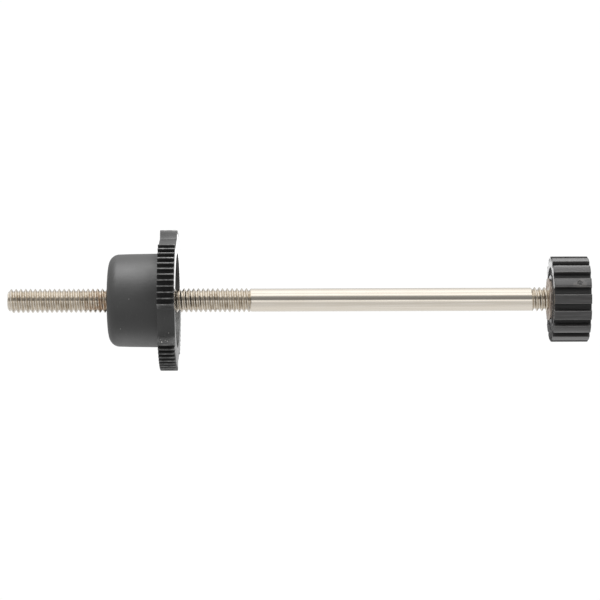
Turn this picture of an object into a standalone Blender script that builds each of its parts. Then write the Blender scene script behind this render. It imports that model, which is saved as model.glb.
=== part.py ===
"""Screw and handwheel: a 1/4-20 stud with a fluted knob fixed on one end and a lobed
handwheel nut that runs along its long thread.

Metres, +Z up.  The screw's axis is +X and the origin is the centre of the stud's free end
face.  Right-hand thread: the handwheel moves towards +X as it turns positively about +X.
"""

import math

import bmesh
import bpy

MM = 0.001
INCH = 25.4 * MM

# Stud: 1/4-20 unified coarse thread on both ends, plain shank between
PITCH = INCH / 20
MAJOR_R = INCH / 8
ROOT_R = 2.45 * MM
CREST_FLAT = PITCH / 8
STUD_LENGTH = 6 * INCH
THREAD_START = math.radians(-120)
LONG_THREAD = 63.5 * MM
SHORT_THREAD = 13.4 * MM
SHANK_R = 3.05 * MM
STUD_END_R = 2.3 * MM

# Handwheel: cup-shaped hub, lobed flange at its open end
NOSE_X = 26.75 * MM
WHEEL_LENGTH = 18.05 * MM
FLANGE_WIDTH = 4.5 * MM
LOBE_R = 18.6 * MM
GAP_FLOOR_R = 16.3 * MM
LOBES = 4
FIRST_LOBE = math.radians(24)
GROOVES_PER_LOBE = 11
GROOVE_PITCH = math.radians(5)
GROOVE_DEPTH = 1.0 * MM
CREST_ANGLE = math.radians(0.9)
GROOVE_FLOOR_ANGLE = math.radians(3)
CUP_NOSE_R = 12.2 * MM
CUP_ROOT_R = 12.4 * MM
NOSE_SHOULDER = (2.8 * MM, 2.9 * MM)
CUP_WALL = 1.6 * MM
CUP_DRAFT = 0.2 * MM
END_WALL = 2.5 * MM
MOUTH_R = 12.45 * MM
MOUTH_DEPTH = 3.0 * MM
BOSS_R = 8.2 * MM
BOSS_TOP = 10.5 * MM
TROUGH_FLOOR = 3.5 * MM

# Pieces inside the hub
NUT_FLATS = 7 / 16 * INCH
NUT_HEIGHT = 5.5 * MM
NUT_FACE_R = 0.48 * NUT_FLATS
NUT_CHAMFER = math.radians(30)
WASHER_R = 5.5 * MM
WASHER_HEIGHT = 1.6 * MM
CLEAR_BORE_R = 3.5 * MM

# Knob: straight flutes, and a flanged threaded insert in its middle
KNOB_X = 143.45 * MM
KNOB_LENGTH = 9.75 * MM
KNOB_R = 11.3 * MM
FLUTES = 16
FLUTE_DEPTH = 1.3 * MM
LAND_ANGLE = math.radians(12.6)
FLOOR_ANGLE = math.radians(7.6)
KNOB_EDGE = 0.3 * MM
LEFT_RECESS = (6.4 * MM, 8.4 * MM, 0.6 * MM)
RIGHT_RECESS_R = 8.5 * MM
RIGHT_RECESS_DEPTH = 0.5 * MM
INSERT_R = 5.0 * MM
INSERT_FLANGE_R = 5.6 * MM
INSERT_FLANGE_HEIGHT = 0.4 * MM
INSERT_CONE = (5.0 * MM, 3.2 * MM, 0.9 * MM)
INSERT_BODY = 9.0 * MM
INSERT_GROOVE = (3.4 * MM, 5.6 * MM, 4.55 * MM)

# Gap kept between pieces that touch, and radial allowance of an inner thread
GAP = 0.3 * MM
THREAD_ALLOWANCE = 0.3 * MM

THREAD_SEGMENTS = 14
SMALL_SEGMENTS = 28
LARGE_SEGMENTS = 44
SHOULDER_STEPS = 4
GAP_STEPS = 4
OVERSHOOT = 1.5 * MM


def material(name, colour, roughness, metallic):
    made = bpy.data.materials.new(name)
    made.use_nodes = True
    shader = made.node_tree.nodes["Principled BSDF"]
    shader.inputs["Base Color"].default_value = (*colour, 1)
    shader.inputs["Roughness"].default_value = roughness
    shader.inputs["Metallic"].default_value = metallic
    made.diffuse_color = (*colour, 1)
    return made


def empty(name, x):
    made = bpy.data.objects.new(name, None)
    made.location = (x, 0, 0)
    bpy.context.collection.objects.link(made)
    return made


def place(name, mesh, x=0.0, finish=None, parent=None):
    """An object whose origin is on the screw's axis, x from its parent's origin."""
    bmesh.ops.recalc_face_normals(mesh, faces=mesh.faces[:])
    data = bpy.data.meshes.new(name)
    mesh.to_mesh(data)
    mesh.free()
    if finish:
        data.materials.append(finish)
        data.shade_smooth()
        data.set_sharp_from_angle(angle=math.radians(35))
    made = bpy.data.objects.new(name, data)
    made.location = (x, 0, 0)
    made.parent = parent
    bpy.context.collection.objects.link(made)
    return made


def combine(target, other, operation):
    """Boolean of target with a helper object, which is then only a guide."""
    step = target.modifiers.new(other.name, "BOOLEAN")
    step.operation = operation
    step.solver = "EXACT"
    step.object = other
    other.hide_render = True
    other.display_type = "WIRE"


def around(radius, angle):
    """The y and z of a point at an angle that turns positively about +X from +Y."""
    return radius * math.cos(angle), radius * math.sin(angle)


def lathe(profile, segments):
    """Solid turned about X from (x, radius) points; it starts and ends on the axis, or is a ring."""
    mesh = bmesh.new()
    loops = []
    for x, radius in profile:
        count = segments if radius > 0 else 1
        loops.append(
            [mesh.verts.new((x, *around(radius, 2 * math.pi * k / segments))) for k in range(count)]
        )
    is_ring = profile[0][1] > 0
    pairs = list(zip(loops, loops[1:] + loops[:1])) if is_ring else list(zip(loops, loops[1:]))
    for one, two in pairs:
        for k in range(segments):
            after = (k + 1) % segments
            corners = [one[k % len(one)], one[after % len(one)], two[after % len(two)], two[k % len(two)]]
            mesh.faces.new(list(dict.fromkeys(corners)))
    return mesh


def loft(rings):
    """Solid through rings of points that all have the same count, with flat ends."""
    mesh = bmesh.new()
    loops = [[mesh.verts.new(point) for point in ring] for ring in rings]
    count = len(loops[0])
    for one, two in zip(loops, loops[1:]):
        for k in range(count):
            after = (k + 1) % count
            mesh.faces.new((one[k], one[after], two[after], two[k]))
    mesh.faces.new(loops[0])
    mesh.faces.new(loops[-1])
    return mesh


def thread_rod(start, end, allowance=0.0):
    """Helical rod that covers start to end and overshoots both; a crest starts at x = 0."""
    first_turn = math.floor(start / PITCH) - 1
    turns = math.ceil(end / PITCH) - first_turn
    crest, root = MAJOR_R + allowance, ROOT_R + allowance
    flat = CREST_FLAT / PITCH
    profile = ((0.0, crest), (flat, crest), ((1 + flat) / 2, root))
    rows = len(profile)
    mesh = bmesh.new()
    grid = {}
    for k in range(THREAD_SEGMENTS):
        last_row = (turns + (k == 0)) * rows
        for row in range(last_row + 1):
            along, radius = profile[row % rows]
            turn = first_turn + row // rows + along + k / THREAD_SEGMENTS
            spot = around(radius, THREAD_START + 2 * math.pi * k / THREAD_SEGMENTS)
            grid[row, k] = mesh.verts.new((turn * PITCH, *spot))
    for row in range(turns * rows + 1):
        grid[row, THREAD_SEGMENTS] = grid[row + rows, 0]
    for row in range(turns * rows):
        for k in range(THREAD_SEGMENTS):
            mesh.faces.new((grid[row, k], grid[row, k + 1], grid[row + 1, k + 1], grid[row + 1, k]))
    for row, turn in ((0, first_turn), (turns * rows, first_turn + turns)):
        rim = [grid[row, k] for k in range(THREAD_SEGMENTS + 1)]
        rim += [grid[row + step, 0] for step in range(rows - 1, 0, -1)]
        middle = mesh.verts.new(((turn + 0.5) * PITCH, 0, 0))
        for one, two in zip(rim, rim[1:] + rim[:1]):
            mesh.faces.new((one, two, middle))
    # the helical faces are slightly twisted, and a Boolean needs flat ones
    bmesh.ops.triangulate(mesh, faces=mesh.faces[:])
    return mesh


def hexagon(across_flats, x):
    corner = across_flats / math.sqrt(3)
    return [(x, *around(corner, math.radians(60 * k))) for k in range(6)]


def flange_outline(x):
    """Lobes with straight grooves and a crest at each corner, and plain round gaps between.

    The two end walls of a lobe are parallel, so a lobe covers a wider angle at its foot.
    """
    half = GROOVES_PER_LOBE / 2 * GROOVE_PITCH
    foot = math.asin(LOBE_R * math.sin(half) / GAP_FLOOR_R)
    gap = 2 * math.pi / LOBES - 2 * foot
    floor_r = LOBE_R - GROOVE_DEPTH
    points = []
    for lobe in range(LOBES):
        # angles run from -Y upwards, which is a negative turn about +X from -Y
        centre = FIRST_LOBE + lobe * 2 * math.pi / LOBES
        start = centre - half
        points.append((LOBE_R, start))
        for groove in range(GROOVES_PER_LOBE):
            middle = start + (groove + 0.5) * GROOVE_PITCH
            crest, floor = (GROOVE_PITCH - CREST_ANGLE) / 2, GROOVE_FLOOR_ANGLE / 2
            points += [(LOBE_R, middle - crest), (floor_r, middle - floor)]
            points += [(floor_r, middle + floor), (LOBE_R, middle + crest)]
        points.append((LOBE_R, start + 2 * half))
        for step in range(GAP_STEPS + 1):
            points.append((GAP_FLOOR_R, centre + foot + gap * step / GAP_STEPS))
    return [(x, -radius * math.cos(a), radius * math.sin(a)) for radius, a in points]


def handwheel_outside():
    across, down = NOSE_SHOULDER
    shoulder = []
    for step in range(SHOULDER_STEPS + 1):
        turn = step / SHOULDER_STEPS * math.pi / 2
        shoulder.append((across * (1 - math.cos(turn)), CUP_NOSE_R - down * (1 - math.sin(turn))))
    flange_x = WHEEL_LENGTH - FLANGE_WIDTH
    inside_flange = flange_x + FLANGE_WIDTH / 3
    profile = [(0, 0), *shoulder, (flange_x, CUP_ROOT_R), (inside_flange, CUP_ROOT_R), (inside_flange, 0)]
    return lathe(profile, LARGE_SEGMENTS)


def make_handwheel(finish, parent):
    wheel = place("handwheel", handwheel_outside(), finish=finish, parent=parent)
    outlines = [flange_outline(WHEEL_LENGTH - FLANGE_WIDTH), flange_outline(WHEEL_LENGTH)]
    combine(wheel, place("flange_blank", loft(outlines), parent=parent), "UNION")

    inner_r = CUP_ROOT_R - CUP_WALL
    step_x = WHEEL_LENGTH - MOUTH_DEPTH
    beyond = WHEEL_LENGTH + OVERSHOOT
    hollow = [
        (BOSS_TOP, 0),
        (BOSS_TOP, BOSS_R),
        (TROUGH_FLOOR, BOSS_R),
        (TROUGH_FLOOR, inner_r - CUP_DRAFT),
        (step_x, inner_r),
        (step_x, MOUTH_R),
        (beyond, MOUTH_R),
        (beyond, 0),
    ]
    combine(wheel, place("hollow_cutter", lathe(hollow, LARGE_SEGMENTS), parent=parent), "DIFFERENCE")

    recess_top = END_WALL + WASHER_HEIGHT + 1.5 * GAP
    bore = [
        (-OVERSHOOT, 0),
        (-OVERSHOOT, CLEAR_BORE_R),
        (END_WALL, CLEAR_BORE_R),
        (END_WALL, WASHER_R + GAP),
        (recess_top, WASHER_R + GAP),
        (recess_top, 0),
    ]
    combine(wheel, place("bore_cutter", lathe(bore, SMALL_SEGMENTS), parent=parent), "DIFFERENCE")

    pocket = NUT_FLATS + 2 * GAP
    ends = [hexagon(pocket, recess_top - GAP / 2), hexagon(pocket, BOSS_TOP + OVERSHOOT)]
    combine(wheel, place("nut_pocket_cutter", loft(ends), parent=parent), "DIFFERENCE")


def make_washer(finish, parent):
    end = WASHER_HEIGHT
    ring = [(0, CLEAR_BORE_R), (0, WASHER_R), (end, WASHER_R), (end, CLEAR_BORE_R)]
    place("thrust_washer", lathe(ring, SMALL_SEGMENTS), END_WALL + GAP, finish, parent)


def make_nut(finish, parent):
    x = END_WALL + WASHER_HEIGHT + 2 * GAP
    ends = [hexagon(NUT_FLATS, 0), hexagon(NUT_FLATS, NUT_HEIGHT)]
    nut = place("hex_nut", loft(ends), x, finish, parent)
    corner_r = NUT_FLATS / math.sqrt(3)
    depth = (corner_r - NUT_FACE_R) * math.tan(NUT_CHAMFER)
    chamfer = [
        (-OVERSHOOT, 0),
        (0, NUT_FACE_R),
        (depth, corner_r),
        (NUT_HEIGHT - depth, corner_r),
        (NUT_HEIGHT, NUT_FACE_R),
        (NUT_HEIGHT + OVERSHOOT, 0),
    ]
    combine(nut, place("nut_chamfer", lathe(chamfer, SMALL_SEGMENTS), x, parent=parent), "INTERSECT")
    rod = thread_rod(NOSE_X + x, NOSE_X + x + NUT_HEIGHT, THREAD_ALLOWANCE)
    combine(nut, place("nut_tap", rod, -NOSE_X, parent=parent), "DIFFERENCE")


def make_stud(finish, parent):
    shank_end = STUD_LENGTH - SHORT_THREAD
    shank = [(LONG_THREAD, 0), (LONG_THREAD, SHANK_R), (shank_end, SHANK_R), (shank_end, 0)]
    stud = place("threaded_stud", lathe(shank, SMALL_SEGMENTS), finish=finish, parent=parent)
    long_rod = thread_rod(0, LONG_THREAD - PITCH / 2)
    short_rod = thread_rod(shank_end + PITCH, STUD_LENGTH)
    combine(stud, place("long_thread_blank", long_rod, parent=parent), "UNION")
    combine(stud, place("short_thread_blank", short_rod, parent=parent), "UNION")
    wide = 2 * MAJOR_R
    chamfer = wide - STUD_END_R
    envelope = [
        (0, 0),
        (0, STUD_END_R),
        (chamfer, wide),
        (STUD_LENGTH - chamfer, wide),
        (STUD_LENGTH, STUD_END_R),
        (STUD_LENGTH, 0),
    ]
    combine(stud, place("stud_envelope", lathe(envelope, SMALL_SEGMENTS), parent=parent), "INTERSECT")


def knob_outline(x, land_r):
    """Lands and flat-floored flutes, with a land centred on -Y."""
    pitch = 2 * math.pi / FLUTES
    floor_r = KNOB_R - FLUTE_DEPTH
    points = []
    for k in range(FLUTES):
        land, flute = math.pi + k * pitch, math.pi + (k + 0.5) * pitch
        points += [(land_r, land - LAND_ANGLE / 2), (land_r, land), (land_r, land + LAND_ANGLE / 2)]
        points += [(floor_r, flute - FLOOR_ANGLE / 2), (floor_r, flute + FLOOR_ANGLE / 2)]
    return [(x, *around(radius, angle)) for radius, angle in points]


def make_knob(finish, parent):
    edge_r = KNOB_R - KNOB_EDGE
    rings = [
        knob_outline(0, edge_r),
        knob_outline(KNOB_EDGE, KNOB_R),
        knob_outline(KNOB_LENGTH - KNOB_EDGE, KNOB_R),
        knob_outline(KNOB_LENGTH, edge_r),
    ]
    knob = place("knob", loft(rings), finish=finish, parent=parent)
    bore_r = INSERT_R + GAP
    bore = [
        (-OVERSHOOT, 0),
        (-OVERSHOOT, bore_r),
        (KNOB_LENGTH - RIGHT_RECESS_DEPTH, bore_r),
        (KNOB_LENGTH - RIGHT_RECESS_DEPTH, RIGHT_RECESS_R),
        (KNOB_LENGTH + OVERSHOOT, RIGHT_RECESS_R),
        (KNOB_LENGTH + OVERSHOOT, 0),
    ]
    combine(knob, place("knob_bore_cutter", lathe(bore, LARGE_SEGMENTS), parent=parent), "DIFFERENCE")
    inner, outer, depth = LEFT_RECESS
    ring = [(-OVERSHOOT, inner), (-OVERSHOOT, outer), (depth, outer), (depth, inner)]
    combine(knob, place("knob_recess_cutter", lathe(ring, LARGE_SEGMENTS), parent=parent), "DIFFERENCE")


def make_insert(finish, parent):
    groove_start, groove_end, groove_r = INSERT_GROOVE
    cone_outer, cone_inner, cone_depth = INSERT_CONE
    left = -GAP - INSERT_FLANGE_HEIGHT
    blank = [
        (left + cone_depth, 0),
        (left + cone_depth, cone_inner),
        (left, cone_outer),
        (left, INSERT_FLANGE_R),
        (-GAP, INSERT_FLANGE_R),
        (-GAP, INSERT_R),
        (groove_start, INSERT_R),
        (groove_start, groove_r),
        (groove_end, groove_r),
        (groove_end, INSERT_R),
        (INSERT_BODY, INSERT_R),
        (INSERT_BODY, 0),
    ]
    insert = place("knob_insert", lathe(blank, SMALL_SEGMENTS), finish=finish, parent=parent)
    rod = thread_rod(KNOB_X + left, KNOB_X + INSERT_BODY, THREAD_ALLOWANCE)
    combine(insert, place("insert_tap", rod, -KNOB_X, parent=parent), "DIFFERENCE")


def main():
    for old in list(bpy.data.objects):
        bpy.data.objects.remove(old, do_unlink=True)
    bright_steel = material("bright_steel", (0.74, 0.68, 0.60), 0.25, 1.0)
    zinc = material("zinc_plate", (0.62, 0.62, 0.60), 0.35, 1.0)
    brass = material("brass", (0.72, 0.53, 0.27), 0.35, 1.0)
    black_moulding = material("black_moulding", (0.045, 0.045, 0.047), 0.55, 0.0)
    black_gloss = material("black_gloss", (0.03, 0.03, 0.032), 0.35, 0.0)

    screw = empty("screw_axis", 0)
    wheel = empty("handwheel_axis", NOSE_X)
    knob = empty("knob_axis", KNOB_X)
    make_stud(bright_steel, screw)
    make_handwheel(black_moulding, wheel)
    make_washer(zinc, wheel)
    make_nut(zinc, wheel)
    make_knob(black_gloss, knob)
    make_insert(brass, knob)


main()
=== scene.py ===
import math

import bmesh
import bpy
import numpy as np
from mathutils import Matrix, Vector


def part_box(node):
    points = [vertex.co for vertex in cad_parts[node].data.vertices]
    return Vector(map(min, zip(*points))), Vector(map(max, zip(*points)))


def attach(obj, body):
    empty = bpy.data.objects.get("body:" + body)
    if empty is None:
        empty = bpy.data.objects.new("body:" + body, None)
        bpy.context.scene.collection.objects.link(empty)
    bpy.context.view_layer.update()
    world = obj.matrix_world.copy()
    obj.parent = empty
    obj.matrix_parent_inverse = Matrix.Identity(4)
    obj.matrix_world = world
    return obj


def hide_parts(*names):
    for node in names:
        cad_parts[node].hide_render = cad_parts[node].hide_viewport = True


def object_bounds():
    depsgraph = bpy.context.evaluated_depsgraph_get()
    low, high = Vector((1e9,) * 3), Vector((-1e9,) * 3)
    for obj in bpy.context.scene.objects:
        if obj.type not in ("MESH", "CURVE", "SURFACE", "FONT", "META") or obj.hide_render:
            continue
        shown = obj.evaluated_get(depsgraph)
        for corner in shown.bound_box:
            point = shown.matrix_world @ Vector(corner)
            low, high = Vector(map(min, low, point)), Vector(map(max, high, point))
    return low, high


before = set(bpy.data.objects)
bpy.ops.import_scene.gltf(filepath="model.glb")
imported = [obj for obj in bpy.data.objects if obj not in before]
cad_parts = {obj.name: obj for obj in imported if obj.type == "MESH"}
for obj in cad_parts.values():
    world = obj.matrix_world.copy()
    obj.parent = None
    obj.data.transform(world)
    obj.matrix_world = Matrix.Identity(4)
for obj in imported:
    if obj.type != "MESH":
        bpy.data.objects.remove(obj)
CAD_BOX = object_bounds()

MM = 0.001
TURN = 2 * math.pi

# Sizes that the CAD boxes give
STUD_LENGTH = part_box("threaded_stud")[1].x
WHEEL_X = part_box("handwheel")[0].x
WHEEL_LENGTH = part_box("handwheel")[1].x - WHEEL_X
KNOB_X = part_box("knob")[0].x
KNOB_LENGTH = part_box("knob")[1].x - KNOB_X
INSERT_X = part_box("knob_insert")[0].x
INSERT_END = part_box("knob_insert")[1].x
NUT_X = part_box("hex_nut")[0].x
NUT_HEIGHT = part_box("hex_nut")[1].x - NUT_X
WASHER_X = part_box("thrust_washer")[0].x
WASHER_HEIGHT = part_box("thrust_washer")[1].x - WASHER_X

# Stud with a 1/4-20 thread
PITCH = 1.27 * MM
MAJOR_R = 3.175 * MM
ROOT_R = 2.5 * MM
SHANK_R = 3.05 * MM
STUD_END_R = 2.3 * MM
LONG_THREAD = 63.5 * MM
SHORT_THREAD = 13.4 * MM
RUN_OUT = 0.8 * PITCH
THREAD_START = math.radians(-120)
STUD_SEGMENTS = 48
THREAD_ROUGH = 0.08
# grime is full at the first radius and gone at the second; the stain comes and goes between four places
GRIME_R = (2.62 * MM, 2.95 * MM)
STAIN_X = (18 * MM, 25.5 * MM, 27.5 * MM, 33 * MM)

# Handwheel
LOBE_R = 18.6 * MM
GAP_FLOOR_R = 16.3 * MM
LOBES = 4
FIRST_LOBE = math.radians(24)
GROOVES_PER_LOBE = 11
GROOVE_PITCH = math.radians(5)
GROOVE_DEPTH = 1.0 * MM
FLANGE_WIDTH = 4.5 * MM
NOSE_RING_R = 9.0 * MM
CUP_NOSE_R = 12.2 * MM
NOSE_SHOULDER = (2.8 * MM, 2.9 * MM)
CUP_ROOT_R = 12.4 * MM
CUP_INNER_R = 10.8 * MM
MOUTH_R = 12.45 * MM
MOUTH_DEPTH = 3.0 * MM
BOSS_R = 8.2 * MM
BOSS_TOP = 10.5 * MM
TROUGH_FLOOR = 3.5 * MM
END_WALL = 2.5 * MM
WASHER_RECESS_R = 5.8 * MM
WASHER_RECESS_TOP = 4.55 * MM
POCKET_FLATS = 11.7125 * MM
CLEAR_BORE_R = 3.5 * MM
EDGE = 0.13 * MM
LOBE_HALF = GROOVES_PER_LOBE / 2 * GROOVE_PITCH
# dust specks on the cup and on a lobe's end wall: place and radius in millimetres
DUST_AT = (
    (28.8, -11.45, -4.4, 0.16), (30.4, -9.8, -7.4, 0.11), (32.8, -12.3, 0.4, 0.08),
    (41.4, -14.19, -10.77, 0.14), (42.3, -13.99, -10.3, 0.08),
    (42.9, -14.08, -10.5, 0.07), (41.0, -13.9, -10.1, 0.07),
)

# Knob and its insert, nut and washer
KNOB_R = 11.3 * MM
FLUTES = 16
FLUTE_DEPTH = 1.3 * MM
NICK_AT = (150.2 * MM, -10.5 * MM, 4.2 * MM)
INSERT_R = 5.0 * MM
INSERT_FLANGE_R = 5.6 * MM
INSERT_FLANGE_HEIGHT = 0.4 * MM
INSERT_CONE = (5.0 * MM, 0.85 * MM)
THREAD_SPACE = 0.3 * MM
NUT_FLATS = 7 / 16 * 25.4 * MM
WASHER_R = 5.5 * MM

# Light
MIDDLE_X = 77 * MM
SEEN_WHITE = 1.02
# world's strength by the angle about the X axis: 0 degrees is the viewer's side, 90 above, 180 behind
SKY = (
    (-180, 0.9), (-128, 0.92), (-90, 0.95), (-56, 0.82), (-36, 0.74), (-19, 0.84), (-9, 1.4), (-3, 0.8),
    (3, 0.3), (9, 0.23), (18, 0.3), (30, 0.36), (39, 0.6), (48, 1.5), (62, 1.5), (70, 1.12), (80, 1.5),
    (98, 1.5), (112, 1.2), (133, 1.0), (150, 0.75), (165, 0.6), (180, 0.6),
)
# strength at the left and at the right
SIDE_LIGHT = (0.85, 0.45)
# strength just above and just below the horizon, behind to the left and behind to the right
HORIZON = ((1.5, 0.1), (2.0, 0.6))
# soft boxes that light only the dark pieces: name, metres to the right of the middle, degrees about the
# X axis, width in metres, power in watts, pieces
SOFT_BOXES = (
    ("top_box", 0.0, 78, 1.1, 15.5, ("handwheel_moulding",)),
    ("front_box", 0.0, 52, 1.1, 6.2, ("knob_moulding",)),
    ("back_box", 0.0, 116, 1.1, 7.2, ("knob_moulding",)),
    ("right_box", 0.62, 70, 0.42, 14.0, ("handwheel_moulding",)),
    ("low_box", 0.0, -112, 1.1, 2.8, ("handwheel_moulding", "knob_moulding")),
)
SOFT_BOX_DISTANCE = 1.17
SOFT_BOX_HEIGHT = 0.8

# Camera
# width that it sees at the screw's axis
VIEW_WIDTH = 158.8 * MM
CAMERA_X = 77.2 * MM
CAMERA_DISTANCE = 624 * MM
CAMERA_ROLL = math.radians(0.19)
SENSOR_WIDTH = 36


# ---------------------------------------------------------------- mesh helpers

def ring_points(x, radii, angles):
    """A ring round the screw's axis; angles run from -Y, the viewer's side, upwards."""
    xs = np.full(len(angles), x)
    return np.column_stack((xs, -radii * np.cos(angles), radii * np.sin(angles)))


def mesh_piece(name, points, faces, sharp_degrees=32):
    """Mesh object with smooth shading, except over edges sharper than the angle."""
    data = bpy.data.meshes.new(name)
    data.from_pydata([tuple(p) for p in points], [], faces)
    mesh = bmesh.new()
    mesh.from_mesh(data)
    bmesh.ops.remove_doubles(mesh, verts=mesh.verts[:], dist=1e-7)
    bmesh.ops.recalc_face_normals(mesh, faces=mesh.faces[:])
    mesh.to_mesh(data)
    mesh.free()
    data.shade_smooth()
    data.set_sharp_from_angle(angle=math.radians(sharp_degrees))
    piece = bpy.data.objects.new(name, data)
    bpy.context.scene.collection.objects.link(piece)
    return piece


def closed_loft(name, rings, sharp_degrees=32):
    """Skin over rings that all have the same count; the last ring joins the first."""
    count = len(rings[0])
    points = np.concatenate(rings)
    faces = []
    for one in range(len(rings)):
        here, there = one * count, (one + 1) % len(rings) * count
        for k in range(count):
            after = (k + 1) % count
            faces.append((here + k, here + after, there + after, there + k))
    return mesh_piece(name, points, faces, sharp_degrees)


def turned(name, profile, segments=96, sharp_degrees=32):
    """Ring-shaped piece turned from (x, radius) points, which go once round its section."""
    angles = np.arange(segments) * TURN / segments
    rings = [ring_points(x, np.full(segments, radius), angles) for x, radius in profile]
    return closed_loft(name, rings, sharp_degrees)


def arc(centre, radii, start, stop, steps):
    """Points on an ellipse arc in the (x, radius) plane, angles in degrees."""
    turns = np.radians(np.linspace(start, stop, steps + 1))
    return [(centre[0] + radii[0] * math.cos(t), centre[1] + radii[1] * math.sin(t)) for t in turns]


def hexagon_radii(angles, across_flats):
    """Distance to a hexagon with a corner on the Y axis, at each angle."""
    from_flat = (angles + TURN / 12) % (TURN / 6) - TURN / 12
    return across_flats / 2 / np.cos(np.abs(from_flat) - TURN / 12)


# ---------------------------------------------------------------- stud

# one pitch of the thread: (share of the pitch, share of the depth); a crest is at 0 depth
THREAD_ROWS = (
    (0.000, 0.00), (0.062, 0.00), (0.125, 0.00), (0.145, 0.04), (0.290, 0.48), (0.435, 0.93),
    (0.475, 0.99), (0.562, 1.00), (0.650, 0.99), (0.690, 0.93), (0.835, 0.48), (0.980, 0.04),
)


def smooth_step(low, high, value):
    """0 up to low, 1 from high on, and smooth between them."""
    t = min(max((value - low) / (high - low), 0.0), 1.0)
    return t * t * (3 - 2 * t)


def stud_radius(x, depth):
    """Radius of the stud's skin at x, where the thread form is that share of its full depth."""
    thread = MAJOR_R - depth * (MAJOR_R - ROOT_R)
    short_start = STUD_LENGTH - SHORT_THREAD
    on_shank = smooth_step(LONG_THREAD, LONG_THREAD + RUN_OUT, x)
    on_shank *= 1 - smooth_step(short_start - RUN_OUT, short_start, x)
    radius = thread * (1 - on_shank) + SHANK_R * on_shank
    chamfer = STUD_END_R + min(x, STUD_LENGTH - x)
    return min(radius, chamfer)


def stud_columns():
    """Helical index to x: one pitch a turn on the threads, and long turns along the shank."""
    spots, depths = [], []

    def add_turns(turns, start, pitch):
        for turn in turns:
            for share, depth in THREAD_ROWS:
                spots.append(start + (turn + share) * pitch)
                depths.append(depth)

    after_long = math.ceil((LONG_THREAD + RUN_OUT) / PITCH) + 1
    before_short = math.floor((STUD_LENGTH - SHORT_THREAD - RUN_OUT) / PITCH) - 1
    shank_turns = 4
    shank_pitch = (before_short - after_long) * PITCH / shank_turns
    add_turns(range(-2, after_long), 0, PITCH)
    add_turns(range(shank_turns), after_long * PITCH, shank_pitch)
    add_turns(range(before_short, math.ceil(STUD_LENGTH / PITCH) + 2), 0, PITCH)
    return np.array(spots), np.array(depths)


def stud_point(x, depth, angle):
    """Skin point; past either end, the rows carry on towards the middle of the end face."""
    half_row = 0.02 * MM
    beyond = max(-x, x - STUD_LENGTH)
    if abs(beyond) < half_row:
        beyond = 0.0
    if beyond >= 0:
        radius = STUD_END_R * max(0.0, 1 - beyond / PITCH)
        x = min(max(x, 0.0), STUD_LENGTH)
    else:
        radius = stud_radius(x, depth)
    return x, radius * math.cos(angle), radius * math.sin(angle)


def make_stud():
    """Helical skin whose rows climb one pitch a turn, right-handed; it closes on both end faces."""
    spots, depths = stud_columns()
    rows, count = len(THREAD_ROWS), STUD_SEGMENTS
    last = len(spots) - 1 - rows
    points, number = [], {}
    for row in range(last + 1):
        climb = spots[row + rows] - spots[row]
        for k in range(count):
            number[row, k] = len(points)
            angle = THREAD_START + TURN * k / count
            points.append(stud_point(spots[row] + climb * k / count, depths[row], angle))
    for row in range(rows):
        number[last + 1 + row, 0] = len(points)
        points.append(stud_point(spots[last + 1 + row], depths[last + 1 + row], THREAD_START))
    for row in range(last + 1):
        number[row, count] = number[row + rows, 0]
    faces = []
    for row in range(last):
        for k in range(count):
            corners = ((row, k), (row, k + 1), (row + 1, k + 1), (row + 1, k))
            faces.append(tuple(number[corner] for corner in corners))
    for row in (0, last):
        rim = [number[row, k] for k in range(count + 1)]
        rim += [number[row + step, 0] for step in range(rows - 1, 0, -1)]
        faces.append(tuple(rim))
    return mesh_piece("stud_surface", points, faces, 24)


# ---------------------------------------------------------------- handwheel

def wheel_outline():
    """Angles and outer radii of the flange: grooved lobes with parallel end walls, and round gaps."""
    half = LOBE_HALF
    corner, corner_drop = math.radians(0.25), 0.07 * MM
    # angle from the groove's middle in degrees, share of the groove's depth
    side = ((2.10, 0.0), (2.00, 0.06), (1.78, 0.75), (1.62, 0.94), (1.30, 1.0))
    groove = [(-a, d) for a, d in side] + [(a, d) for a, d in reversed(side)]
    wall_radii = np.array([17.9, 17.1, 16.55, 16.4, 16.33]) * MM
    wall = np.arcsin(LOBE_R * math.sin(half) / wall_radii)
    wall[-2:] += np.radians((0.15, 0.6))
    angles, radii = [], []
    for lobe in range(LOBES):
        centre = FIRST_LOBE + lobe * TURN / LOBES
        angles += [*(centre - wall[::-1]), centre - half - corner, centre - half]
        radii += [*wall_radii[::-1], LOBE_R - corner_drop, LOBE_R]
        for k in range(GROOVES_PER_LOBE):
            middle = centre - half + (k + 0.5) * GROOVE_PITCH
            angles += [middle + math.radians(a) for a, _ in groove]
            radii += [LOBE_R - d * GROOVE_DEPTH for _, d in groove]
        angles += [centre + half, centre + half + corner, *(centre + wall)]
        radii += [LOBE_R, LOBE_R - corner_drop, *wall_radii]
        foot = wall[-1] + math.radians(0.8)
        for share in np.linspace(0, 1, 9):
            angles.append(centre + foot + (TURN / LOBES - 2 * foot) * share)
            radii.append(GAP_FLOOR_R)
    return np.array(angles), np.array(radii)


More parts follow.
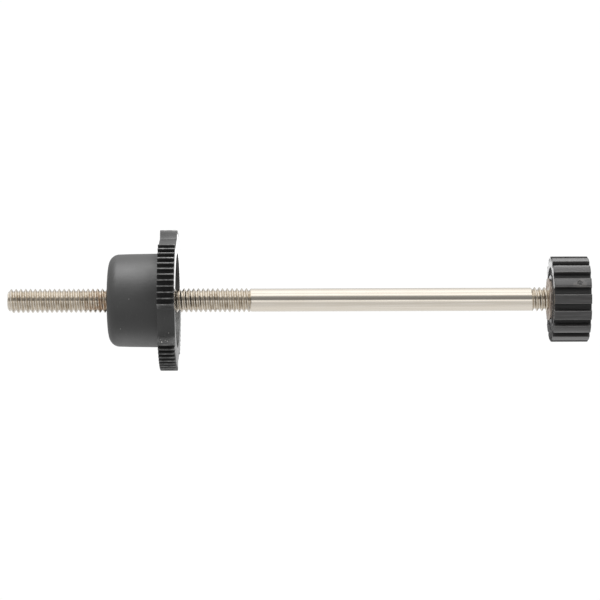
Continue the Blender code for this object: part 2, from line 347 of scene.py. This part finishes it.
def make_wheel():
    """Cup and flange in one, from the bore outwards over the nose, the flange and the mouth to the pocket."""
    angles, outline = wheel_outline()

    def circle(x, radius):
        return ring_points(WHEEL_X + x, np.full(len(angles), radius), angles)

    def flange(x, inset):
        return ring_points(WHEEL_X + x, outline - inset, angles)

    def pocket(x, across_flats):
        return ring_points(WHEEL_X + x, hexagon_radii(angles, across_flats), angles)

    left = WHEEL_LENGTH - FLANGE_WIDTH
    step_x = WHEEL_LENGTH - MOUTH_DEPTH
    e = EDGE
    rings = [circle(END_WALL, CLEAR_BORE_R), circle(2 * e, CLEAR_BORE_R), circle(e / 3, CLEAR_BORE_R + e)]
    rings += [circle(0, CLEAR_BORE_R + 3 * e), circle(0, NOSE_RING_R)]
    across, down = NOSE_SHOULDER
    shoulder = arc((across, CUP_NOSE_R - down), NOSE_SHOULDER, 180, 90, 12)
    rings += [circle(x, radius) for x, radius in shoulder]
    widening = CUP_ROOT_R - CUP_NOSE_R
    rings += [circle(left * share, CUP_NOSE_R + widening * share) for share in (0.4, 0.7)]
    root = 0.3 * MM
    fillet = arc((left - root, CUP_ROOT_R + root), (root, root), -90, 0, 4)
    rings += [circle(x, radius) for x, radius in fillet]
    rings += [flange(left, e), flange(left + 0.3 * e, 0.3 * e), flange(left + e, 0)]
    rings += [flange(left + FLANGE_WIDTH / 2, 0)]
    rings += [flange(WHEEL_LENGTH - e, 0), flange(WHEEL_LENGTH - 0.3 * e, 0.3 * e), flange(WHEEL_LENGTH, e)]
    rings += [circle(WHEEL_LENGTH, MOUTH_R + e), circle(WHEEL_LENGTH - e, MOUTH_R)]
    rings += [circle(step_x + 2 * e, MOUTH_R), circle(step_x, MOUTH_R - 2 * e)]
    rings += [circle(step_x, CUP_INNER_R + e), circle(step_x - e, CUP_INNER_R)]
    corner = 0.4 * MM
    inner_foot_r = CUP_INNER_R - 0.2 * MM
    rings += [circle(TROUGH_FLOOR + corner, inner_foot_r), circle(TROUGH_FLOOR, inner_foot_r - corner)]
    rings += [circle(TROUGH_FLOOR, BOSS_R + corner), circle(TROUGH_FLOOR + corner, BOSS_R)]
    rings += [circle(BOSS_TOP - e, BOSS_R), circle(BOSS_TOP, BOSS_R - e)]
    rings += [pocket(BOSS_TOP, POCKET_FLATS + 4 * e), pocket(BOSS_TOP - 2 * e, POCKET_FLATS)]
    rings += [pocket(WASHER_RECESS_TOP, POCKET_FLATS), circle(WASHER_RECESS_TOP, WASHER_RECESS_R)]
    rings += [circle(END_WALL, WASHER_RECESS_R)]
    return closed_loft("handwheel_moulding", rings)


# ---------------------------------------------------------------- knob, insert, nut, washer

def knob_outline():
    """Angles and depths below the lands: round-cornered lands and flat-floored flutes."""
    floor = FLUTE_DEPTH / MM
    # angle from the land's middle in degrees, depth in millimetres
    side = (
        (2.8, 0.0), (5.9, 0.0), (6.1, 0.02), (6.24, 0.06), (6.32, 0.14),
        (7.1, 1.08), (7.3, 1.22), (7.7, 1.29), (8.6, floor), (10.0, floor),
    )
    pitch = TURN / FLUTES
    offsets = [(-a, d) for a, d in reversed(side)] + [(0.0, 0.0)] + list(side)
    offsets.append((math.degrees(pitch / 2), floor))
    angles, depths = [], []
    for k in range(FLUTES):
        for degrees, depth in offsets:
            angles.append(k * pitch + math.radians(degrees))
            depths.append(depth * MM)
    return np.array(angles), np.array(depths)


def make_knob():
    """Fluted knob with a ring-shaped recess in its left face and a wide shallow one in its right face."""
    angles, depths = knob_outline()

    def outline(x, inset):
        radii = np.minimum(KNOB_R - depths, KNOB_R - inset)
        return ring_points(KNOB_X + x, radii, angles)

    def circle(x, radius):
        return ring_points(KNOB_X + x, np.full(len(angles), radius * MM), angles)

    # distance in from the end face and radius, in millimetres; then distance in and inset of the rim
    left_face = (
        (0.05, 5.3), (0, 5.38), (0, 6.3), (0.1, 6.4), (0.5, 6.4),
        (0.6, 6.5), (0.6, 8.3), (0.5, 8.4), (0.12, 8.4), (0, 8.52),
    )
    right_face = ((0, 8.62), (0.12, 8.5), (0.42, 8.5), (0.5, 8.42), (0.5, 5.38), (0.55, 5.3))
    rim = ((0.0, 0.30), (0.03, 0.17), (0.10, 0.07), (0.20, 0.02), (0.32, 0.0))
    rings = [circle(x * MM, radius) for x, radius in left_face]
    rings += [outline(x * MM, inset * MM) for x, inset in rim]
    rings += [outline(KNOB_LENGTH / 2, 0)]
    rings += [outline(KNOB_LENGTH - x * MM, inset * MM) for x, inset in reversed(rim)]
    rings += [circle(KNOB_LENGTH - x * MM, radius) for x, radius in right_face]
    return closed_loft("knob_moulding", rings)


def make_insert():
    """Insert with a thin flange, and a countersink that the stud runs into."""
    flange_end = INSERT_X + INSERT_FLANGE_HEIGHT
    e = 0.12 * MM
    bore = MAJOR_R + THREAD_SPACE
    cone_r, cone_depth = INSERT_CONE
    flange_r = INSERT_FLANGE_R
    profile = [
        (INSERT_X + cone_depth, bore), (INSERT_X + e / 3, cone_r - e / 2), (INSERT_X, cone_r),
        (INSERT_X, flange_r - e), (INSERT_X + e, flange_r), (flange_end - e / 2, flange_r),
        (flange_end, flange_r - e / 2), (flange_end, INSERT_R), (INSERT_END - e, INSERT_R),
        (INSERT_END, INSERT_R - e), (INSERT_END, bore + 2 * e), (INSERT_END - 2 * e, bore),
    ]
    return turned("insert_turned", profile)


def make_washer():
    """Plain washer with rounded edges."""
    e = 0.15 * MM
    end = WASHER_X + WASHER_HEIGHT
    profile = [
        (WASHER_X + e, CLEAR_BORE_R), (WASHER_X, CLEAR_BORE_R + e), (WASHER_X, WASHER_R - e),
        (WASHER_X + e, WASHER_R), (end - e, WASHER_R), (end, WASHER_R - e),
        (end, CLEAR_BORE_R + e), (end - e, CLEAR_BORE_R),
    ]
    return turned("washer_pressed", profile)


def make_nut():
    """Hexagon whose corners are cut by a 30 degree cone at both faces, with a countersunk bore."""
    segments = 144
    angles = np.arange(segments) * TURN / segments
    hexagon = hexagon_radii(angles, NUT_FLATS)
    face_r = 0.48 * NUT_FLATS
    bore = MAJOR_R + THREAD_SPACE
    sink, sink_width = 0.5 * MM, 0.4 * MM

    def circle(x, radius):
        return ring_points(x, np.full(segments, radius), angles)

    def cone(x, depth):
        radii = np.minimum(hexagon, face_r + depth / math.tan(math.radians(30)))
        return ring_points(x, radii, angles)

    end = NUT_X + NUT_HEIGHT
    depths = [depth * MM for depth in (0, 0.05, 0.15, 0.3, 0.45, 0.65)]
    rings = [circle(NUT_X + sink, bore), circle(NUT_X, bore + sink_width)]
    rings += [cone(NUT_X + depth, depth) for depth in depths]
    rings += [cone(end - depth, depth) for depth in reversed(depths)]
    rings += [circle(end, bore + sink_width), circle(end - sink, bore)]
    return closed_loft("nut_forged", rings, 25)


# ---------------------------------------------------------------- materials

class Graph:
    """Short way to add shader nodes to a node tree and join them."""

    def __init__(self, tree):
        self.tree = tree

    def add(self, kind, settings=None, **inputs):
        node = self.tree.nodes.new(kind)
        for key, value in (settings or {}).items():
            setattr(node, key, value)
        for key, value in inputs.items():
            self.feed(node.inputs[key.replace("_", " ")], value)
        return node

    def feed(self, socket, value):
        if isinstance(value, bpy.types.NodeSocket):
            self.tree.links.new(value, socket)
        else:
            socket.default_value = value

    def math(self, operation, *values):
        node = self.add("ShaderNodeMath", {"operation": operation})
        for socket, value in zip(node.inputs, values):
            self.feed(socket, value)
        return node.outputs[0]

    def times(self, *values):
        product = values[0]
        for value in values[1:]:
            product = self.math("MULTIPLY", product, value)
        return product

    def span(self, value, low, high, to_low=0.0, to_high=1.0):
        """Smooth step of the value from to_low, at low, to to_high, at high."""
        node = self.add("ShaderNodeMapRange", {"interpolation_type": "SMOOTHSTEP"})
        for socket, given in zip(node.inputs, (value, low, high, to_low, to_high)):
            self.feed(socket, given)
        return node.outputs["Result"]

    def blend(self, factor, one, two):
        node = self.add("ShaderNodeMix")
        for socket, given in zip(node.inputs, (factor, None, one, two)):
            if given is not None:
                self.feed(socket, given)
        return node.outputs["Result"]


class Surface(Graph):
    """Material whose nodes work from the place on the piece, in metres."""

    def __init__(self, name):
        self.material = bpy.data.materials.new(name)
        self.material.use_nodes = True
        super().__init__(self.material.node_tree)
        self.shader = self.tree.nodes["Principled BSDF"]
        self.place = self.add("ShaderNodeTexCoord").outputs["Object"]

    def stretched(self, scale):
        """Place on the piece, scaled on its own along each axis."""
        node = self.add("ShaderNodeMapping", {"vector_type": "POINT"}, Vector=self.place)
        node.inputs["Scale"].default_value = scale
        return node.outputs["Vector"]

    def noise(self, scale, detail=3.0, roughness=0.55, vector=None):
        place = vector or self.place
        node = self.add("ShaderNodeTexNoise", Vector=place, Scale=scale, Detail=detail, Roughness=roughness)
        return node.outputs["Fac"]

    def voronoi(self, scale):
        return self.add("ShaderNodeTexVoronoi", Vector=self.place, Scale=scale).outputs["Distance"]

    def mix(self, factor, one, two):
        """Colour between two colours, each given as numbers or as a socket."""
        node = self.add("ShaderNodeMix", {"data_type": "RGBA"})
        self.feed(node.inputs["Factor"], factor)
        for socket, colour in zip(node.inputs[6:8], (one, two)):
            self.feed(socket, colour if isinstance(colour, bpy.types.NodeSocket) else (*colour, 1))
        return node.outputs[2]

    def along(self):
        """Distance along the screw's axis."""
        return self.add("ShaderNodeSeparateXYZ", Vector=self.place).outputs["X"]

    def from_axis(self):
        """Distance from the screw's axis."""
        flat = self.add("ShaderNodeVectorMath", {"operation": "MULTIPLY"})
        self.feed(flat.inputs[0], self.place)
        flat.inputs[1].default_value = (0, 1, 1)
        length = self.add("ShaderNodeVectorMath", {"operation": "LENGTH"})
        self.feed(length.inputs[0], flat.outputs["Vector"])
        return length.outputs["Value"]

    def around(self):
        """Angle about the screw's axis, from the viewer's side upwards."""
        split = self.add("ShaderNodeSeparateXYZ", Vector=self.place)
        return self.math("ARCTAN2", split.outputs["Z"], self.times(split.outputs["Y"], -1.0))

    def distance(self, spot):
        """Distance from a spot on the piece."""
        node = self.add("ShaderNodeVectorMath", {"operation": "DISTANCE"})
        self.feed(node.inputs[0], self.place)
        node.inputs[1].default_value = spot
        return node.outputs["Value"]

    def bump(self, height, strength, distance, normal=None):
        node = self.add("ShaderNodeBump", Height=height, Strength=strength, Distance=distance)
        if normal:
            self.feed(node.inputs["Normal"], normal)
        return node.outputs["Normal"]

    def finish(self, **inputs):
        """Feed the shader and give the material."""
        for key, value in inputs.items():
            self.feed(self.shader.inputs[key.replace("_", " ")], value)
        return self.material


def stud_steel():
    """Bright drawn bar with a warm nickel tint; duller rolled threads with brown grime in their roots."""
    n = Surface("stud_steel")
    x, r = n.along(), n.from_axis()
    streaks = n.noise(1.0, 4.0, 0.6, n.stretched((60, 5200, 5200)))
    waves = n.noise(1.0, 2.0, 0.5, n.stretched((45, 420, 420)))
    patches = n.noise(1.0, 2.0, 0.5, n.stretched((140, 320, 320)))
    grain = n.noise(9000, 2.0)
    short_start = STUD_LENGTH - SHORT_THREAD
    on_long = n.span(x, LONG_THREAD + RUN_OUT, LONG_THREAD)
    on_short = n.span(x, short_start - RUN_OUT, short_start)
    threaded = n.math("ADD", on_long, on_short)
    in_root = n.span(r, GRIME_R[1], GRIME_R[0])
    grime = n.times(in_root, n.span(n.noise(420, 4.0), 0.42, 0.72), 0.6)
    near_cup = n.times(n.span(x, STAIN_X[0], STAIN_X[1]), n.span(x, STAIN_X[3], STAIN_X[2]))
    stain = n.times(near_cup, n.span(n.noise(700, 3.0), 0.42, 0.62))
    bright = n.mix(n.span(streaks, 0.3, 0.7), (0.76, 0.71, 0.635), (0.68, 0.625, 0.545))
    bright = n.mix(n.span(patches, 0.35, 0.7, 0.0, 0.5), bright, (0.70, 0.64, 0.55))
    dull = n.mix(n.times(threaded, 0.2), bright, (0.52, 0.47, 0.40))
    dirty = n.mix(grime, dull, (0.30, 0.235, 0.16))
    colour = n.mix(n.times(stain, 0.6), dirty, (0.36, 0.20, 0.09))
    rough = n.math("ADD", n.span(streaks, 0.25, 0.75, 0.10, 0.17), n.times(threaded, THREAD_ROUGH))
    rough = n.math("ADD", rough, n.times(stain, 0.15))
    normal = n.bump(streaks, 0.35, 0.004 * MM)
    normal = n.bump(n.times(waves, n.math("SUBTRACT", 1.0, threaded)), 1.0, 0.02 * MM, normal)
    normal = n.bump(grain, 0.15, 0.002 * MM, normal)
    return n.finish(Base_Color=colour, Roughness=rough, Normal=normal, Metallic=1.0)


def wheel_plastic():
    """Matte charcoal moulding: fine sparked texture, painted shade in the grooves, worn crests, scuffs, dust,
    and painted light on the mouth's inner wall.
    """
    n = Surface("wheel_plastic")
    x, r = n.along(), n.from_axis()
    wheel_end = WHEEL_X + WHEEL_LENGTH
    cloud = n.noise(180, 4.0, 0.6)
    sparked = n.noise(6500, 2.0, 0.7)
    scuff = n.noise(1.0, 3.0, 0.6, n.stretched((2600, 500, 500)))
    worn = n.times(n.span(r, LOBE_R - 0.3 * MM, LOBE_R), n.span(n.noise(900, 3.0), 0.3, 0.7))
    # the grooved mask below darkens the base as painted shade in the grooves and makes them rougher
    groove_top, groove_floor = LOBE_R - 0.25 * MM, LOBE_R - 1.3 * MM
    above_floor = n.span(r, groove_floor - 0.2 * MM, groove_floor)
    grooved = n.times(n.span(r, groove_top, groove_top - 0.2 * MM), above_floor)
    grooved = n.times(grooved, n.span(x, wheel_end - 0.1 * MM, wheel_end - 0.3 * MM))
    from_lobe = n.math("PINGPONG", n.math("SUBTRACT", n.around(), FIRST_LOBE), TURN / LOBES / 2)
    grooved = n.times(grooved, n.span(from_lobe, LOBE_HALF, LOBE_HALF - math.radians(0.4)))
    step_x = wheel_end - MOUTH_DEPTH
    in_mouth = n.span(x, step_x - 0.1 * MOUTH_DEPTH, step_x)
    # painted light: mask for a lighter base on the mouth's inner wall, standing in for light falling into the
    # mouth
    painted_mouth_light = n.times(n.span(r, MOUTH_R + 0.2 * MM, MOUTH_R), in_mouth)
    specks = n.times(n.span(n.voronoi(330), 0.055, 0.035), n.span(n.noise(90, 1.0), 0.60, 0.66))
    for *spot, radius in DUST_AT:
        from_spot = n.distance([place * MM for place in spot])
        specks = n.math("MAXIMUM", specks, n.span(from_spot, radius * MM, 0.6 * radius * MM))
    base = n.mix(cloud, (0.026, 0.026, 0.026), (0.036, 0.036, 0.0355))
    base = n.mix(n.span(scuff, 0.6, 0.8, 0.0, 0.35), base, (0.09, 0.09, 0.09))
    # painted shade: the base goes nearly black down in the grooves, standing in for their shadow
    base = n.mix(n.times(grooved, 0.9), base, (0.004, 0.004, 0.004))
    base = n.mix(n.times(worn, 0.5), base, (0.22, 0.22, 0.215))
    # painted light on the mouth's inner wall
    base = n.mix(n.times(painted_mouth_light, n.span(cloud, 0.2, 0.6)), base, (0.11, 0.11, 0.107))
    colour = n.mix(specks, base, (0.62, 0.60, 0.56))
    rough = n.math("SUBTRACT", n.span(cloud, 0.3, 0.7, 0.46, 0.54), n.times(worn, 0.12))
    end_face = n.span(x, wheel_end - 0.06 * MM, wheel_end - 0.03 * MM)
    rough = n.math("SUBTRACT", rough, n.times(end_face, 0.40))
    rough = n.math("ADD", rough, n.times(grooved, 0.3))
    return n.finish(Base_Color=colour, Roughness=rough, Normal=n.bump(sparked, 0.25, 0.02 * MM))


def knob_plastic():
    """Glossier black moulding: painted shade in the flutes, rubbed lands, land edges lightened by wear and a
    painted highlight, and one nick.
    """
    n = Surface("knob_plastic")
    x, r = n.along(), n.from_axis()
    knob_end = KNOB_X + KNOB_LENGTH
    cloud = n.noise(260, 4.0, 0.6)
    drag = n.noise(1.0, 3.0, 0.6, n.stretched((90, 2600, 2600)))
    rubbed = n.times(n.span(r, KNOB_R - 0.3 * MM, KNOB_R - 0.05 * MM), n.span(drag, 0.45, 0.7))
    dents = n.times(n.span(n.voronoi(260), 0.10, 0.05), n.span(n.noise(140, 1.0), 0.60, 0.64))
    from_nick = n.distance(NICK_AT)
    nick = n.times(n.span(n.noise(2200, 2.0), 0.42, 0.52), n.span(from_nick, 0.85 * MM, 0.5 * MM))
    base = n.mix(cloud, (0.023, 0.022, 0.022), (0.036, 0.034, 0.034))
    past_left = n.span(x, KNOB_X + 0.1 * MM, KNOB_X + 0.3 * MM)
    inside = n.times(past_left, n.span(x, knob_end - 0.1 * MM, knob_end - 0.3 * MM))
    # the fluted mask below darkens the base as painted shade in the flutes and makes them rougher
    floor_r = KNOB_R - FLUTE_DEPTH
    above_floor = n.span(r, floor_r - 0.3 * MM, floor_r - 0.1 * MM)
    fluted = n.times(inside, above_floor, n.span(r, KNOB_R - 0.3 * MM, KNOB_R - 0.8 * MM))
    # painted shade: the base goes nearly black in the flutes, standing in for their shadow
    base = n.mix(n.times(fluted, 0.9), base, (0.004, 0.004, 0.004))
    # lighter land edges: part wear, part painted highlight
    from_land = n.math("PINGPONG", n.around(), TURN / FLUTES / 2)
    edge_wear_and_highlight = n.span(from_land, math.radians(5.0), math.radians(5.8))
    edge_wear_and_highlight = n.times(edge_wear_and_highlight, n.span(r, KNOB_R - 0.2 * MM, KNOB_R - 0.1 * MM), inside)
    base = n.mix(n.times(edge_wear_and_highlight, n.span(cloud, 0.3, 0.6, 0.3, 0.8)), base, (0.11, 0.108, 0.105))
    colour = n.mix(n.times(rubbed, 0.35), base, (0.11, 0.11, 0.11))
    ragged = n.math("ADD", from_nick, n.times(n.math("SUBTRACT", n.noise(900, 3.0), 0.5), 4 * MM))
    colour = n.mix(n.span(ragged, 1.7 * MM, 0.9 * MM, 0.0, 0.35), colour, (0.13, 0.12, 0.11))
    colour = n.mix(nick, colour, (0.01, 0.01, 0.01))
    end_face = n.span(x, KNOB_X + 0.06 * MM, KNOB_X + 0.03 * MM)
    rough = n.math("SUBTRACT", n.span(drag, 0.3, 0.7, 0.32, 0.44), n.times(end_face, 0.2))
    rough = n.math("ADD", rough, n.times(fluted, 0.3))
    normal = n.bump(drag, 0.2, 0.01 * MM)
    normal = n.bump(dents, 0.6, 0.08 * MM, normal)
    normal = n.bump(n.times(nick, -1.0), 0.9, 0.12 * MM, normal)
    n.shader.inputs["Specular IOR Level"].default_value = 0.62
    return n.finish(Base_Color=colour, Roughness=rough, Normal=normal)


def plated_steel():
    """Zinc plate, dulled unevenly."""
    n = Surface("plated_steel")
    mottle = n.noise(700, 4.0, 0.65)
    fine = n.noise(5200, 3.0)
    colour = n.mix(mottle, (0.50, 0.50, 0.47), (0.68, 0.67, 0.63))
    rough = n.span(mottle, 0.3, 0.7, 0.26, 0.42)
    return n.finish(Base_Color=colour, Roughness=rough, Normal=n.bump(fine, 0.3, 0.01 * MM), Metallic=1.0)


def insert_brass():
    """Turned brass, tarnished brown, with fine tool rings on its faces."""
    n = Surface("insert_brass")
    rings = n.math("SINE", n.times(n.from_axis(), TURN / (0.11 * MM)))
    tarnish = n.noise(600, 4.0, 0.6)
    colour = n.mix(n.span(tarnish, 0.35, 0.65), (0.30, 0.235, 0.19), (0.60, 0.53, 0.47))
    rough = n.span(tarnish, 0.3, 0.7, 0.3, 0.5)
    return n.finish(Base_Color=colour, Roughness=rough, Normal=n.bump(rings, 0.25, 0.006 * MM), Metallic=1.0)


# ---------------------------------------------------------------- stage

def pale_floor():
    """Plain pale floor, well below the object."""
    size, depth = 3.0, 0.075
    z = CAD_BOX[0].z - depth
    corners = [(-size, -size, z), (size, -size, z), (size, size, z), (-size, size, z)]
    floor = mesh_piece("floor", corners, [(0, 1, 2, 3)])
    material = bpy.data.materials.new("floor_white")
    material.use_nodes = True
    material.node_tree.nodes.clear()
    g = Graph(material.node_tree)
    light = g.add("ShaderNodeEmission", Strength=SEEN_WHITE)
    g.add("ShaderNodeOutputMaterial", Surface=light.outputs["Emission"])
    floor.visible_diffuse = floor.visible_glossy = floor.visible_shadow = False
    floor.data.materials.append(material)


def studio_light():
    """World that depends on the angle about the X axis, with a horizon behind; white to the camera."""
    world = bpy.data.worlds.new("studio")
    bpy.context.scene.world = world
    world.use_nodes = True
    world.node_tree.nodes.clear()
    g = Graph(world.node_tree)
    split = g.add("ShaderNodeSeparateXYZ", Vector=g.add("ShaderNodeTexCoord").outputs["Generated"])
    x, y, z = (split.outputs[axis] for axis in "XYZ")
    about = g.math("ARCTAN2", z, g.times(y, -1.0))
    curve = g.add("ShaderNodeValToRGB", Fac=g.math("DIVIDE", g.math("ADD", about, math.pi), TURN))
    top = max(strength for _, strength in SKY)
    ramp = curve.color_ramp
    ramp.interpolation = "EASE"
    for number, (degrees, strength) in enumerate(SKY):
        spot = (degrees + 180) / 360
        stop = ramp.elements[number] if number < 2 else ramp.elements.new(spot)
        stop.position = spot
        stop.color = (strength / top,) * 3 + (1,)
    sideways = g.span(g.math("ABSOLUTE", x), 0.3, 0.7)
    to_right = g.span(x, -0.02, 0.02)
    sky = g.blend(sideways, g.times(curve.outputs["Color"], top), g.blend(to_right, *SIDE_LIGHT))
    (left_high, left_low), (right_high, right_low) = HORIZON
    high = g.blend(to_right, left_high, right_high)
    low = g.blend(to_right, left_low, right_low)
    horizon = g.blend(g.span(z, -0.004, 0.004), low, high)
    near_horizon = g.times(g.span(g.math("ABSOLUTE", z), 0.09, 0.05), g.span(y, 0.8, 0.9))
    seen = g.add("ShaderNodeLightPath").outputs["Is Camera Ray"]
    strength = g.blend(seen, g.blend(near_horizon, sky, horizon), SEEN_WHITE)
    light = g.add("ShaderNodeBackground", Color=(1, 1, 1, 1), Strength=strength)
    g.add("ShaderNodeOutputWorld", Surface=light.outputs["Background"])
    bpy.context.scene.view_settings.view_transform = "Standard"


def soft_box(name, x, degrees, width, power, pieces):
    """Large soft box at an angle about the X axis that lights only the named pieces."""
    data = bpy.data.lights.new(name, "AREA")
    data.shape = "RECTANGLE"
    data.size, data.size_y = width, SOFT_BOX_HEIGHT
    data.energy = power
    box = bpy.data.objects.new(name, data)
    bpy.context.scene.collection.objects.link(box)
    angle = math.radians(degrees)
    box.location = (x, -SOFT_BOX_DISTANCE * math.cos(angle), SOFT_BOX_DISTANCE * math.sin(angle))
    aim = Vector((MIDDLE_X, 0, 0)) - box.location
    box.rotation_euler = aim.to_track_quat("-Z", "Y").to_euler()
    box.visible_camera = False
    lit = bpy.data.collections.new(f"lit_by_{name}")
    for piece in pieces:
        lit.objects.link(bpy.data.objects[piece])
    box.light_linking.receiver_collection = lit


def make_camera():
    """Level camera at the height of the screw's axis, square on to it, with a slight roll."""
    data = bpy.data.cameras.new("camera")
    data.sensor_width = SENSOR_WIDTH
    data.lens = SENSOR_WIDTH * CAMERA_DISTANCE / VIEW_WIDTH
    data.clip_start, data.clip_end = 0.01, 20
    camera = bpy.data.objects.new("camera", data)
    bpy.context.scene.collection.objects.link(camera)
    place = Matrix.Translation((CAMERA_X, -CAMERA_DISTANCE, 0))
    level = Matrix.Rotation(math.pi / 2, 4, "X")
    camera.matrix_world = place @ Matrix.Rotation(CAMERA_ROLL, 4, "Y") @ level
    bpy.context.scene.camera = camera


def dress(piece, material, slot, body, *nodes):
    """Give a piece its material and its body, and hide the CAD nodes that it stands for."""
    piece.data.materials.append(material)
    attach(piece, body)
    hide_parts(*nodes)


make_camera()
zinc = plated_steel()
dress(make_wheel(), wheel_plastic(), "wheel_plastic", "wheel", "handwheel")
dress(make_knob(), knob_plastic(), "knob_plastic", "screw", "knob")
dress(make_stud(), stud_steel(), "stud_steel", "screw", "threaded_stud")
dress(make_insert(), insert_brass(), "insert_brass", "screw", "knob_insert")
dress(make_washer(), zinc, "plated_steel", "washer", "thrust_washer")
dress(make_nut(), zinc, "plated_steel", "wheel", "hex_nut")
pale_floor()
studio_light()
for name, aside, degrees, width, power, pieces in SOFT_BOXES:
    soft_box(name, MIDDLE_X + aside, degrees, width, power, pieces)
